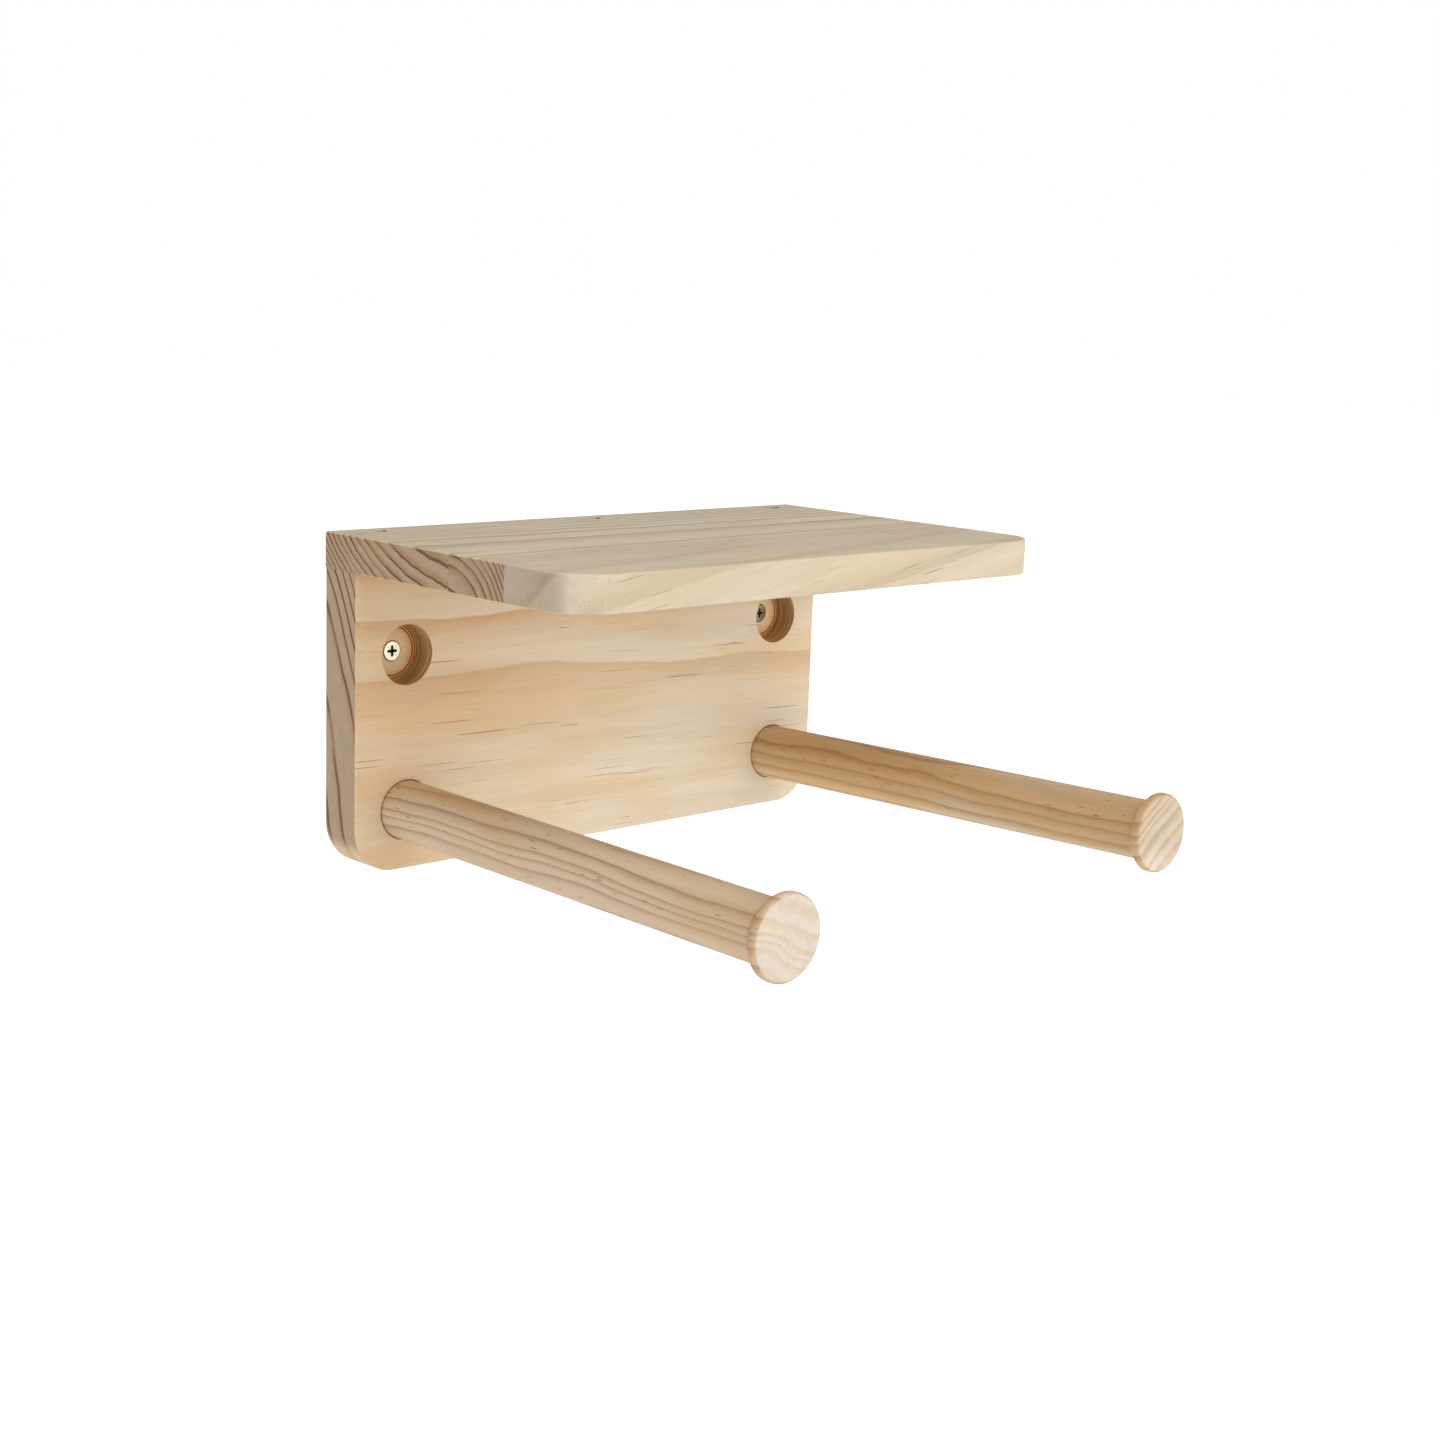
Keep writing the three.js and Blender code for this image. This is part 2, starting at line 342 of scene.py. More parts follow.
def peg_mesh(side):
    """A turned peg, with the pilot hole for the screw that holds it from behind."""
    screw = SCREWS[f"peg_screw_{side}"]
    pilot = screw.shank + PILOT_CLEARANCE
    pilot_floor = BACK_THICKNESS - screw.length - PILOT_BEYOND_SCREW
    last = -PEG_OUT + KNOB_LENGTH
    shank = [(PEG_RADIUS, last * i / PEG_RINGS) for i in range(PEG_RINGS)]
    profile = [(0, pilot_floor), (pilot, pilot_floor), (pilot, SOCKET_DEPTH)]
    profile += [(PEG_RADIUS - PEG_CHAMFER, SOCKET_DEPTH), (PEG_RADIUS, SOCKET_DEPTH - PEG_CHAMFER)]
    mesh = lathe(profile + shank + knob_profile())
    mesh.transform(peg_matrix(side))
    shade(mesh, sharp=40)
    return mesh


# ---- Screws ------------------------------------------------------------------------------------


@dataclass
class Screw:
    """A countersunk wood screw. Its matrix puts the middle of its head and its axis in place."""

    length: float
    head: float  # radius
    shank: float  # radius
    slot: float  # width of the cross recess
    matrix: Matrix


def screw_rows(screw):
    """The profile of a screw from its head's middle to its tip, with rows for the thread."""
    core = screw.shank * SCREW_CORE
    smooth_end = screw.length * SCREW_SMOOTH
    rows = [(0, 0), (screw.head - SCREW_BEVEL_WIDTH, 0), (screw.head, SCREW_BEVEL_DROP)]
    rows += [(screw.head, SCREW_RIM), (screw.shank, SCREW_RIM + screw.head - screw.shank)]
    rows.append((screw.shank, smooth_end))
    count = int((screw.length - smooth_end) / THREAD_STEP)
    for i in range(1, count):
        y = smooth_end + i * THREAD_STEP
        rows.append((core * min(1, (screw.length - y) / SCREW_TIP), y))
    rows.append((0, screw.length))
    return rows


def thread_height(screw, y, angle):
    """How far the thread stands out of the core at this depth and angle."""
    start = screw.length * SCREW_SMOOTH
    if y <= start + THREAD_STEP / 2:
        return 0
    turn = (y / THREAD_PITCH - angle / (2 * math.pi)) % 1
    ridge = max(0, 1 - abs(turn - 0.5) / THREAD_HALF_WIDTH)
    run_in = min(1, (y - start) / THREAD_PITCH)
    run_out = min(1, (screw.length - y) / THREAD_RUN_OUT)
    return screw.shank * THREAD_HEIGHT * ridge * run_in * run_out


def screw_mesh(screw):
    """A screw with its thread, its cross recess and the four marks between the arms of the cross."""
    mesh = lathe(screw_rows(screw), SCREW_STEPS, lambda y, angle: thread_height(screw, y, angle))
    use_materials(mesh, SCREW_METALS, 0)
    cutters = [cross_cutter(screw)] + [tick_cutter(screw, quarter) for quarter in range(4)]
    # The faces cut by the recess and the marks take the second metal: painted shade in these hollows
    for cutter in cutters:
        use_materials(cutter, SCREW_METALS, 1)
    mesh = carve(mesh, cutters)
    mesh.transform(screw.matrix)
    shade(mesh, sharp=32)
    return mesh


def cross_cutter(screw):
    """The recess: a cross whose arms narrow and shorten with depth."""
    reach = screw.slot / 2
    half_arm = screw.slot * 0.13
    depth = screw.slot * 0.42
    bottom_share = 0.5
    above = 0.3 * MM
    corner = [(reach, -half_arm), (reach, half_arm), (half_arm, half_arm)]
    outline = []
    for quarter in range(4):
        turn = Matrix.Rotation(math.radians(90 * quarter), 2)
        outline += [turn @ Vector(point) for point in corner]
    points = [(p.x, -above, p.y) for p in outline]
    points += [(p.x * bottom_share, depth, p.y * bottom_share) for p in outline]
    count = len(outline)
    faces = [[i, (i + 1) % count, count + (i + 1) % count, count + i] for i in range(count)]
    faces += [list(range(count)), list(range(count, 2 * count))]
    return mesh_from(points, faces)


def tick_cutter(screw, quarter):
    """One of the four shallow marks between the arms of the cross."""
    near = screw.slot * 0.2
    far = screw.slot * 0.62
    half = 0.11 * MM
    depth = 0.3 * MM
    ends = [(near, -half), (far, -half), (far, half), (near, half)]
    turn = Matrix.Rotation(math.radians(45 + 90 * quarter), 2)
    flat = [turn @ Vector(point) for point in ends]
    points = [(p.x, -depth, p.y) for p in flat] + [(p.x, depth, p.y) for p in flat]
    faces = [[0, 1, 2, 3], [4, 5, 6, 7], [0, 1, 5, 4], [1, 2, 6, 5], [2, 3, 7, 6], [3, 0, 4, 7]]
    return mesh_from(points, faces)


def screw_cutter(node):
    """The countersunk hole of a joint screw, with its mouth past the face that it enters."""
    screw = SCREWS[node]
    head = screw.head + SCREW_CUTTER_GAP
    shank = screw.shank + SCREW_CUTTER_GAP
    end = screw.length + SCREW_CUTTER_GAP
    profile = [(0, -SCREW_CUTTER_OVERRUN), (head, -SCREW_CUTTER_OVERRUN), (head, SCREW_RIM)]
    profile += [(shank, SCREW_RIM + screw.head - screw.shank), (shank, end), (0, end)]
    cutter = lathe(profile, SCREW_STEPS)
    cutter.transform(screw.matrix)
    shade(cutter)
    return cutter


SHELF_SCREWS = ["shelf_screw_left", "shelf_screw_middle", "shelf_screw_right"]
PEG_SCREWS = ["peg_screw_left", "peg_screw_right"]
WALL_SCREWS = ["wall_screw_left", "wall_screw_right"]


def joint_screw(matrix):
    """The size of screw that joins the shelf and the pegs to the back board."""
    return Screw(length=40 * MM, head=3.9 * MM, shank=2 * MM, slot=4.2 * MM, matrix=matrix)


def shelf_screw(node):
    """Straight down, with its head just above the top of its CAD node's box."""
    low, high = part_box(node)
    raised = 0.5 * MM
    head = Vector(((low.x + high.x) / 2, (low.y + high.y) / 2, high.z + raised))
    return joint_screw(Matrix.Translation(head) @ Matrix.Rotation(math.radians(-90), 4, "X"))


def peg_screw(node):
    """Through the back board from the wall side and along the peg."""
    sunk = 0.8 * MM
    head = Matrix.Translation((0, BACK_THICKNESS - sunk, 0))
    half_turn = Matrix.Rotation(math.pi, 4, "X")
    return joint_screw(peg_matrix(node.removeprefix("peg_screw_")) @ head @ half_turn)


def wall_screw(node):
    """From the floor of a counterbore straight into the wall."""
    low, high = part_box(node)
    head = Matrix.Translation(((low.x + high.x) / 2, low.y, (low.z + high.z) / 2))
    return Screw(length=40 * MM, head=5 * MM, shank=2.5 * MM, slot=6 * MM, matrix=head)


SCREWS = {node: shelf_screw(node) for node in SHELF_SCREWS}
SCREWS |= {node: peg_screw(node) for node in PEG_SCREWS}
SCREWS |= {node: wall_screw(node) for node in WALL_SCREWS}

# ---- Material nodes ----------------------------------------------------------------------------

# The numbered sockets of a Mix node for each kind of value: first input, second input, output
MIX_SOCKETS = {"VECTOR": (4, 5, 1), "RGBA": (6, 7, 2)}


class Nodes:
    """Builds a material's node tree. Most methods add a node and return its output socket."""

    def __init__(self, name):
        self.material = bpy.data.materials.new(name)
        self.material.use_nodes = True
        self.tree = self.material.node_tree
        self.tree.nodes.clear()

    def feed(self, socket, value):
        if isinstance(value, bpy.types.NodeSocket):
            self.tree.links.new(value, socket)
        else:
            socket.default_value = value

    def add(self, kind, inputs, output=0, **settings):
        node = self.tree.nodes.new(kind)
        for key, value in settings.items():
            setattr(node, key, value)
        for key, value in inputs.items():
            self.feed(node.inputs[key], value)
        return node.outputs[output]

    def maths(self, operation, *values):
        return self.add("ShaderNodeMath", dict(enumerate(values)), operation=operation)

    def product(self, first, *others):
        for other in others:
            first = self.maths("MULTIPLY", first, other)
        return first

    def vector(self, operation, *values):
        output = "Value" if operation in ("LENGTH", "DOT_PRODUCT") else "Vector"
        inputs = dict(enumerate(values))
        return self.add("ShaderNodeVectorMath", inputs, output, operation=operation)

    def split(self, vector):
        node = self.tree.nodes.new("ShaderNodeSeparateXYZ")
        self.feed(node.inputs[0], vector)
        return node.outputs

    def join(self, x, y, z):
        return self.add("ShaderNodeCombineXYZ", {0: x, 1: y, 2: z})

    def remap(self, value, start, end, low=0.0, high=1.0, smooth=True):
        """Value from start to end becomes low to high, held at both ends."""
        inputs = {"Value": value, "From Min": start, "From Max": end, "To Min": low, "To Max": high}
        kind = "SMOOTHSTEP" if smooth else "LINEAR"
        return self.add("ShaderNodeMapRange", inputs, interpolation_type=kind, clamp=True)

    def noise(self, vector, detail=2.0, roughness=0.5, output="Fac"):
        inputs = {"Vector": vector, "Scale": 1.0, "Detail": detail, "Roughness": roughness}
        return self.add("ShaderNodeTexNoise", inputs, output)

    def mix(self, factor, first, second, blend="MIX", kind="RGBA"):
        """A mix of two colours; a colour is a socket or (red, green, blue)."""
        node = self.tree.nodes.new("ShaderNodeMix")
        node.data_type = kind
        node.blend_type = blend
        *inputs, output = MIX_SOCKETS[kind]
        self.feed(node.inputs[0], factor)
        for number, value in zip(inputs, (first, second)):
            plain_colour = kind == "RGBA" and isinstance(value, tuple)
            self.feed(node.inputs[number], (*value, 1) if plain_colour else value)
        return node.outputs[output]

    def pick(self, factor, first, second):
        """A mix of two vectors."""
        return self.mix(factor, first, second, kind="VECTOR")

    def ramp(self, value, stops):
        """A grey value that follows the stops, each (place, grey) with places from 0 to 1."""
        node = self.tree.nodes.new("ShaderNodeValToRGB")
        elements = node.color_ramp.elements
        while len(elements) < len(stops):
            elements.new(1.0)
        for element, (place, grey) in zip(elements, stops):
            element.position = place
            element.color = (grey, grey, grey, 1)
        self.feed(node.inputs[0], value)
        return node.outputs[0]

    def finish(self, colour, roughness, height, relief, **plain):
        """The Principled shader, with plain values on its own sockets. Returns the material."""
        inputs = {"Strength": 1.0, "Distance": relief, "Height": height}
        bump = self.add("ShaderNodeBump", inputs, "Normal")
        shader = self.tree.nodes.new("ShaderNodeBsdfPrincipled")
        self.feed(shader.inputs["Base Color"], colour)
        self.feed(shader.inputs["Roughness"], roughness)
        self.feed(shader.inputs["Normal"], bump)
        for key, value in plain.items():
            shader.inputs[key.replace("_", " ")].default_value = value
        output = self.tree.nodes.new("ShaderNodeOutputMaterial")
        self.feed(output.inputs["Surface"], shader.outputs[0])
        return self.material


def millimetres(nodes):
    """The place in the holder's frame, in millimetres."""
    place = nodes.add("ShaderNodeTexCoord", {}, "Object")
    return nodes.vector("MULTIPLY", place, (1 / MM,) * 3)


# ---- Pine --------------------------------------------------------------------------------------


@dataclass
class Grain:
    """How one stick of wood lay in its log. Lengths in millimetres, angles in degrees."""

    pivot: tuple  # a point on a ring boundary
    outward: float  # turn about the grain to the way out of the log: 0 is +Y in a board, +X in a peg
    bend: float  # the ring's radius at the pivot
    ring: float  # the ring's width there
    tighten: float = 0.0  # how fast the rings grow narrower outwards
    climb: float = 0.0  # turns the grain up
    veer: float = 0.0  # turns it aside
    bold: float = 1.0  # how strongly its rings show
    tone: tuple = (1, 1, 1)  # its end grain's colour next to its neighbours'


@dataclass
class Look:
    """The colours of one piece's pine, and how its rings run and show. Lengths in millimetres."""

    early: tuple  # colours along the grain
    late: tuple
    warm: tuple  # tint of the warmer patches
    end_early: tuple  # colours across the grain
    end_band: tuple
    end_late: tuple
    side: list  # how dark a ring shows along the grain, from its start to its end
    end: list  # the same across the grain
    seed: float
    wander: float  # how far the rings stray from true circles over a hand's breadth
    ripple: float  # and over a finger's
    uneven: float  # how much the rings differ in width
    pin_length: float  # length of the dark resin lines
    pin_width: float
    pins: float  # how dark they are
    fold: int = 1  # rings that show across the grain for each one that shows along it


# How dark a growth ring shows at each part of its width: a sharp edge at its outer boundary, then
# a slow rise
BROAD_RING = [(0, 0.9), (0.03, 0.02), (0.4, 0.1), (0.72, 0.4), (0.93, 0.9), (1, 1)]
STREAK_RING = [(0, 0.9), (0.06, 0.05), (0.45, 0.03), (0.72, 0.32), (0.9, 1), (1, 1)]
PEG_RING = [(0, 0.9), (0.05, 0.15), (0.25, 0), (0.58, 0.2), (0.84, 0.62), (0.93, 1), (1, 1)]
FINE_RING = [(0, 0.9), (0.04, 0.05), (0.38, 0.02), (0.6, 0.4), (0.8, 0.6), (0.87, 1), (1, 1)]
THIN_RING = [(0, 1), (0.06, 0.2), (0.2, 0), (0.6, 0.05), (0.8, 0.5), (0.88, 1), (1, 1)]
SOFT_RING = [(0, 0.7), (0.12, 0.05), (0.45, 0.05), (0.75, 0.7), (0.9, 1), (1, 0.9)]

# Patterns in the wood, as (length along the grain, length across it) in millimetres
SLOW_WAVES = (130, 45)
QUICK_WAVES = (24, 9)
PATCHES = (120, 24)
FADING = (60, 30)
FIBRES = (22, 0.5)
STREAKS = (150, 6)
CANAL_CLUSTERS = (90, 22)

# What a pattern does, as (value from, value to) or (value from, value to, result from, result to)
RING_VIGOUR = (0, 1, 0.7, 1.0)  # some rings are paler than others
RING_IN_PATCH = (0.3, 0.6, 1.0, 0.7)  # and fainter in the warm patches
RING_FADING = (0.36, 0.54, 0.78, 1.0)  # and fade here and there on the ends
WARM_PATCH = (0.4, 0.62)
BAND_SPAN = (0, 0.45)  # ring darkness that turns end_early to end_band
LATE_SPAN = (0.4, 0.85)  # and end_band to end_late
END_FACE = (0.8, 0.98)  # how squarely a face that shows end grain looks along the grain
FIBRE_GREY = (0.25, 0.75, -0.08, 0.08)
STREAK_GREY = (0.3, 0.7, -0.045, 0.045)
FIBRE_ROUGHNESS = (0.2, 0.8, 0.52, 0.66)
CANAL_EDGE = (0.09, 0.17, 1, 0)
CANAL_DARKNESS = (0, 1, 0.3, 1)
CANAL_SHARE = (0.35, 0.62, 0.1, 1.0)  # how many canals show outside and inside a cluster

LEAST_SLOPE = 0.6  # the widest ring is 1 / 0.6 of the one at the pivot
WIDTH_CHANGE = 1.7  # rings over which the widths change
CANAL_CELL = 3.5  # room round a resin line, in lengths or widths of the line
CANALS_ACROSS = -0.7  # how much weaker the canals are on a face across the grain
LATE_GLOSS = -0.1  # how much less rough the dark part of a ring is
RELIEF = 0.05 * MM
FIBRE_HEIGHT = 0.6  # heights as shares of the relief
LATE_HEIGHT = 0.35
CANAL_DEPTH = 0.8
PIN_BROWN = (0.27, 0.14, 0.065)
SPECULAR = 0.3
WHITE = (1, 1, 1)
ALONG_X = (1, 0, 0)  # the way the grain runs in the boards
ALONG_Y = (0, 1, 0)  # and in the pegs

# How far a piece's seed moves it in the patterns, in millimetres along and across the grain
RING_SEED_STEP = 91.0
SEED_STEP = (37.0, 11.0)


def along_grain(nodes, place, grain):
    """A point in the stick's own axes: x along the grain, y away from the pith, z across."""
    turn = tuple(math.radians(angle) for angle in (grain.outward, -grain.climb, grain.veer))
    inputs = {"Vector": place, "Location": grain.pivot, "Rotation": turn}
    return nodes.add("ShaderNodeMapping", inputs, vector_type="TEXTURE")


def stretched(nodes, vector, lengths):
    """Divides by a length along the grain and one across it, which draws a pattern out to them."""
    along, across = lengths
    return nodes.vector("DIVIDE", vector, (along, across, across))


def strayed(nodes, local, lengths, reach):
    """Moves a point across the grain by up to the reach, in waves of the given lengths."""
    wave = nodes.noise(stretched(nodes, local, lengths), detail=1.5, output="Color")
    centred = nodes.vector("SUBTRACT", wave, (0.5, 0.5, 0.5))
    return nodes.vector("MULTIPLY_ADD", centred, (0, 2 * reach, 2 * reach), local)


def ring_phase(nodes, local, grain, look):
    """Counts rings outwards from the pivot, a whole number at each ring boundary."""
    seeded = nodes.vector("ADD", local, (look.seed * RING_SEED_STEP, 0, 0))
    waved = strayed(nodes, seeded, SLOW_WAVES, look.wander)
    _, y, z = nodes.split(strayed(nodes, waved, QUICK_WAVES, look.ripple))
    radius = nodes.vector("LENGTH", nodes.join(0, nodes.maths("ADD", y, grain.bend), z))
    out = nodes.maths("SUBTRACT", radius, grain.bend)
    slope = nodes.maths("MULTIPLY_ADD", out, grain.tighten, 1 / grain.ring)
    slope = nodes.maths("MAXIMUM", slope, LEAST_SLOPE / grain.ring)
    changes = nodes.maths("DIVIDE", out, WIDTH_CHANGE * grain.ring)
    widths = nodes.noise(nodes.join(changes, look.seed, 0.5), detail=0.0)
    shift = nodes.product(nodes.maths("SUBTRACT", widths, 0.5), 2 * look.uneven)
    return nodes.maths("ADD", nodes.product(out, slope), shift)


def ring_darkness(nodes, look, shifted, phase, patch, bold):
    """How dark the ring at a point shows: on a face along the grain, and on one across it."""
    number = nodes.maths("FLOOR", phase)
    chance = nodes.add("ShaderNodeTexWhiteNoise", {"W": number}, noise_dimensions="1D")
    vigour = nodes.remap(chance, *RING_VIGOUR, smooth=False)
    strength = nodes.product(vigour, nodes.remap(patch, *RING_IN_PATCH), bold)
    step = nodes.maths("FRACT", phase)
    side = nodes.product(nodes.ramp(step, look.side), strength)
    end_step = nodes.maths("FRACT", nodes.product(phase, look.fold))
    cloud = nodes.noise(stretched(nodes, shifted, FADING), detail=1.0)
    fading = nodes.remap(cloud, *RING_FADING)
    end = nodes.product(nodes.ramp(end_step, look.end), vigour, bold, fading)
    return side, end


def side_colour(nodes, look, darkness, patch):
    """The colour of a face along the grain."""
    wood = nodes.mix(darkness, look.early, look.late)
    return nodes.mix(nodes.remap(patch, *WARM_PATCH), wood, look.warm, "MULTIPLY")


def end_colour(nodes, look, darkness, tone):
    """The colour of a face across the grain."""
    wood = nodes.mix(nodes.remap(darkness, *BAND_SPAN), look.end_early, look.end_band)
    wood = nodes.mix(nodes.remap(darkness, *LATE_SPAN), wood, look.end_late)
    return nodes.mix(1.0, wood, tone, "MULTIPLY")


def fibred(nodes, wood, shifted, fibre):
    """The wood with its fine fibres and slower streaks, a little lighter and darker."""
    streak = nodes.noise(stretched(nodes, shifted, STREAKS))
    grey = nodes.maths("ADD", nodes.remap(fibre, *FIBRE_GREY, smooth=False), 1)
    grey = nodes.maths("ADD", nodes.remap(streak, *STREAK_GREY, smooth=False), grey)
    return nodes.mix(1.0, wood, nodes.join(grey, grey, grey), "MULTIPLY")


def resin_canals(nodes, local, look):
    """Short dark lines along the grain, which show as pin pricks on a face cut across it."""
    room = (look.pin_length * CANAL_CELL, look.pin_width * CANAL_CELL)
    cells = nodes.tree.nodes.new("ShaderNodeTexVoronoi")
    nodes.feed(cells.inputs["Vector"], stretched(nodes, local, room))
    nodes.feed(cells.inputs["Scale"], 1.0)
    line = nodes.remap(cells.outputs["Distance"], *CANAL_EDGE)
    chance, depth = nodes.split(cells.outputs["Color"])[:2]
    dark = nodes.remap(depth, *CANAL_DARKNESS, smooth=False)
    cluster = nodes.noise(stretched(nodes, local, CANAL_CLUSTERS), detail=1.0)
    some = nodes.maths("LESS_THAN", chance, nodes.remap(cluster, *CANAL_SHARE))
    return nodes.product(line, some, dark, look.pins)


def pine(nodes, look, local, phase, grain_axis, bold=1.0, tone=WHITE, stain_and_painted_light=None):
    """Finishes a pine material from a point's place in its log and its ring phase."""
    along, across = SEED_STEP
    shifted = nodes.vector("ADD", local, (look.seed * along, look.seed * across, 0))
    patch = nodes.noise(stretched(nodes, shifted, PATCHES))
    fibre = nodes.noise(stretched(nodes, shifted, FIBRES), detail=3.0, roughness=0.6)
    late, end_late = ring_darkness(nodes, look, shifted, phase, patch, bold)
    normal = nodes.add("ShaderNodeTexCoord", {}, "Normal")
    facing = nodes.maths("ABSOLUTE", nodes.vector("DOT_PRODUCT", normal, grain_axis))
    end_face = nodes.remap(facing, *END_FACE)
    side = side_colour(nodes, look, late, patch)
    end = end_colour(nodes, look, end_late, tone)
    wood = fibred(nodes, nodes.mix(end_face, side, end), shifted, fibre)
    fewer_across = nodes.maths("MULTIPLY_ADD", end_face, CANALS_ACROSS, 1)
    pins = nodes.product(resin_canals(nodes, shifted, look), fewer_across, bold)
    wood = nodes.mix(pins, wood, PIN_BROWN)
    # The piece's own tints and stains, and its painted shade and light
    if stain_and_painted_light:
        wood = stain_and_painted_light(nodes, wood)
    height = nodes.maths("MULTIPLY_ADD", fibre, FIBRE_HEIGHT, nodes.product(late, LATE_HEIGHT))
    height = nodes.maths("SUBTRACT", height, nodes.product(pins, CANAL_DEPTH))
    gloss = nodes.product(late, LATE_GLOSS)
    roughness = nodes.maths("ADD", nodes.remap(fibre, *FIBRE_ROUGHNESS), gloss)
    return nodes.finish(wood, roughness, height, RELIEF, Specular_IOR_Level=SPECULAR)


def one_stick(name, look, grain, grain_axis, stain_and_painted_light):
    """The pine of a piece that was cut from a single stick."""
    nodes = Nodes(name)
    local = along_grain(nodes, millimetres(nodes), grain)
    phase = ring_phase(nodes, local, grain, look)
    return pine(nodes, look, local, phase, grain_axis, stain_and_painted_light=stain_and_painted_light)


# ---- Pine of the back board --------------------------------------------------------------------

# One wide board, whose rings lean a little towards the wall at the top
BACK_GRAIN = Grain(
    pivot=(0, -26, -17.5), outward=161.7, bend=312, ring=14.4, tighten=0.00115, climb=-1.4
)
BACK_LOOK = Look(
    early=(0.715, 0.605, 0.455),
    late=(0.58, 0.36, 0.185),
    warm=(0.99, 0.905, 0.79),
    end_early=(0.44, 0.35, 0.25),
    end_band=(0.395, 0.268, 0.165),
    end_late=(0.12, 0.052, 0.024),
    side=BROAD_RING, end=THIN_RING, fold=2,
    seed=3, wander=3.2, ripple=0.3, uneven=0.15,
    pin_length=32, pin_width=0.36, pins=1.5,
)

# Distances and depths in these tints, stains, painted shade and painted light are in millimetres
LEFT_END = (40, -180)  # the wood deepens between these x
LEFT_TINT = (0.92, 0.83, 0.72)
SCORCH_AND_GAP_SHADE = (0.42, 0.24, 0.09)
DARK_RINGS_PAST_LAST = 0.1

# Dark rings round the holes, as (distance from the hole's axis, strength). Round a socket they
# are painted shade on its wall and mouth, so that the gap round the peg shows dark. In the
# counterbores they are what the boring bit scorched: a dark line round the screw's head and two
# lines near the edge of the floor.
SOCKET_GAP_SHADE = [(14.9, 0), (15.05, 0.9), (15.45, 0.9), (15.8, 0)]
COUNTERBORE_STAIN = [
    (4.8, 0.9), (5.3, 0.8), (5.7, 0), (12.0, 0), (12.3, 1), (12.9, 1),
    (13.1, 0), (13.6, 0), (13.8, 1), (14.4, 1), (14.6, 0), (15.5, 0),
]
STAIN_PAST_FLOOR = 1
SOCKET_TOP = -1
COUNTERBORE_TOP = 0.4
COUNTERBORE_REACH = 15.6
COUNTERBORE_PAINTED_LIGHT = (1.2, 1.13, 1.04)
GOLD = (1.03, 0.83, 0.57)  # the floor between and beside the scorched lines
GOLD_EDGE = (8.5, 12.5)
COUNTERBORE_WALL = (15.1, 15.25, 0, 0.85)
WALL_LINES = (0.85, 0.03, 0.03)  # the turned lines are close in depth and long round the wall
WALL_LINE_SPAN = (0.38, 0.62)
WALL_OLIVE = (0.54, 0.35, 0.15)
WALL_BROWN = (0.30, 0.17, 0.07)


def within(nodes, value, low, high):
    """One between the two values, and nought elsewhere."""
    return nodes.product(nodes.maths("GREATER_THAN", value, low), nodes.maths("LESS_THAN", value, high))


def hole_radius(nodes, place, height):
    """Distance from the axis of the nearer of two holes at this height, one at each side."""
    x, _, z = nodes.split(place)
    aside = nodes.maths("SUBTRACT", nodes.maths("ABSOLUTE", x), HALF_SPACING / MM)
    return nodes.vector("LENGTH", nodes.join(aside, 0, nodes.maths("SUBTRACT", z, height)))


def darkened_rings(nodes, wood, radius, stops, there):
    """The wood with dark rings round a hole, where there is one: scorch in a counterbore, painted shade
    in a socket.
    """
    first, last = stops[0][0], stops[-1][0]
    scale = nodes.remap(radius, first, last, smooth=False)
    rings = nodes.ramp(scale, [((at - first) / (last - first), grey) for at, grey in stops])
    near = nodes.maths("LESS_THAN", radius, last + DARK_RINGS_PAST_LAST)
    return nodes.mix(nodes.product(rings, near, there), wood, SCORCH_AND_GAP_SHADE, "MULTIPLY")


def counterbore_light_and_stain(nodes, wood, place, deep):
    """Paints light into a counterbore, which turns its floor pale; gives the floor a golden, scorched
    edge, and turns its wall brown.
    """
    x, _, z = nodes.split(place)
    radius = hole_radius(nodes, place, 0)
    inside = within(nodes, deep, COUNTERBORE_TOP, COUNTERBORE_DEPTH / MM + STAIN_PAST_FLOOR)
    inside = nodes.product(inside, nodes.maths("LESS_THAN", radius, COUNTERBORE_REACH))
    # Painted light: the inside of each counterbore is lightened
    wood = nodes.mix(inside, wood, COUNTERBORE_PAINTED_LIGHT, "MULTIPLY")
    edge = nodes.remap(radius, *GOLD_EDGE)
    wood = nodes.mix(nodes.product(edge, inside), wood, GOLD, "MULTIPLY")
    wood = darkened_rings(nodes, wood, radius, COUNTERBORE_STAIN, inside)
    lines = nodes.noise(nodes.vector("MULTIPLY", nodes.join(deep, z, x), WALL_LINES))
    turned = nodes.mix(nodes.remap(lines, *WALL_LINE_SPAN), WALL_BROWN, WALL_OLIVE)
    wall = nodes.remap(radius, *COUNTERBORE_WALL)
    return nodes.mix(nodes.product(wall, inside), wood, turned)


def back_stain_shade_and_light(nodes, wood):
    """Darkens and warms the wood towards its left end, paints shade into the gaps round the pegs
    and paints light into the counterbores, whose floors the boring bit scorched.
    """
    place = millimetres(nodes)
    x, y, _ = nodes.split(place)
    wood = nodes.mix(nodes.remap(x, *LEFT_END), wood, LEFT_TINT, "MULTIPLY")
    deep = nodes.maths("SUBTRACT", y, FRONT / MM)
    in_socket = within(nodes, deep, SOCKET_TOP, SOCKET_DEPTH / MM + STAIN_PAST_FLOOR)
    socket_radius = hole_radius(nodes, place, (BACK_LOW.z + PEG_ABOVE_BOTTOM) / MM)
    # Painted shade: the socket's wall and mouth are darkened, so that the gap round each peg shows dark
    wood = darkened_rings(nodes, wood, socket_radius, SOCKET_GAP_SHADE, in_socket)
    return counterbore_light_and_stain(nodes, wood, place, deep)


# ---- Pine of the shelf -------------------------------------------------------------------------

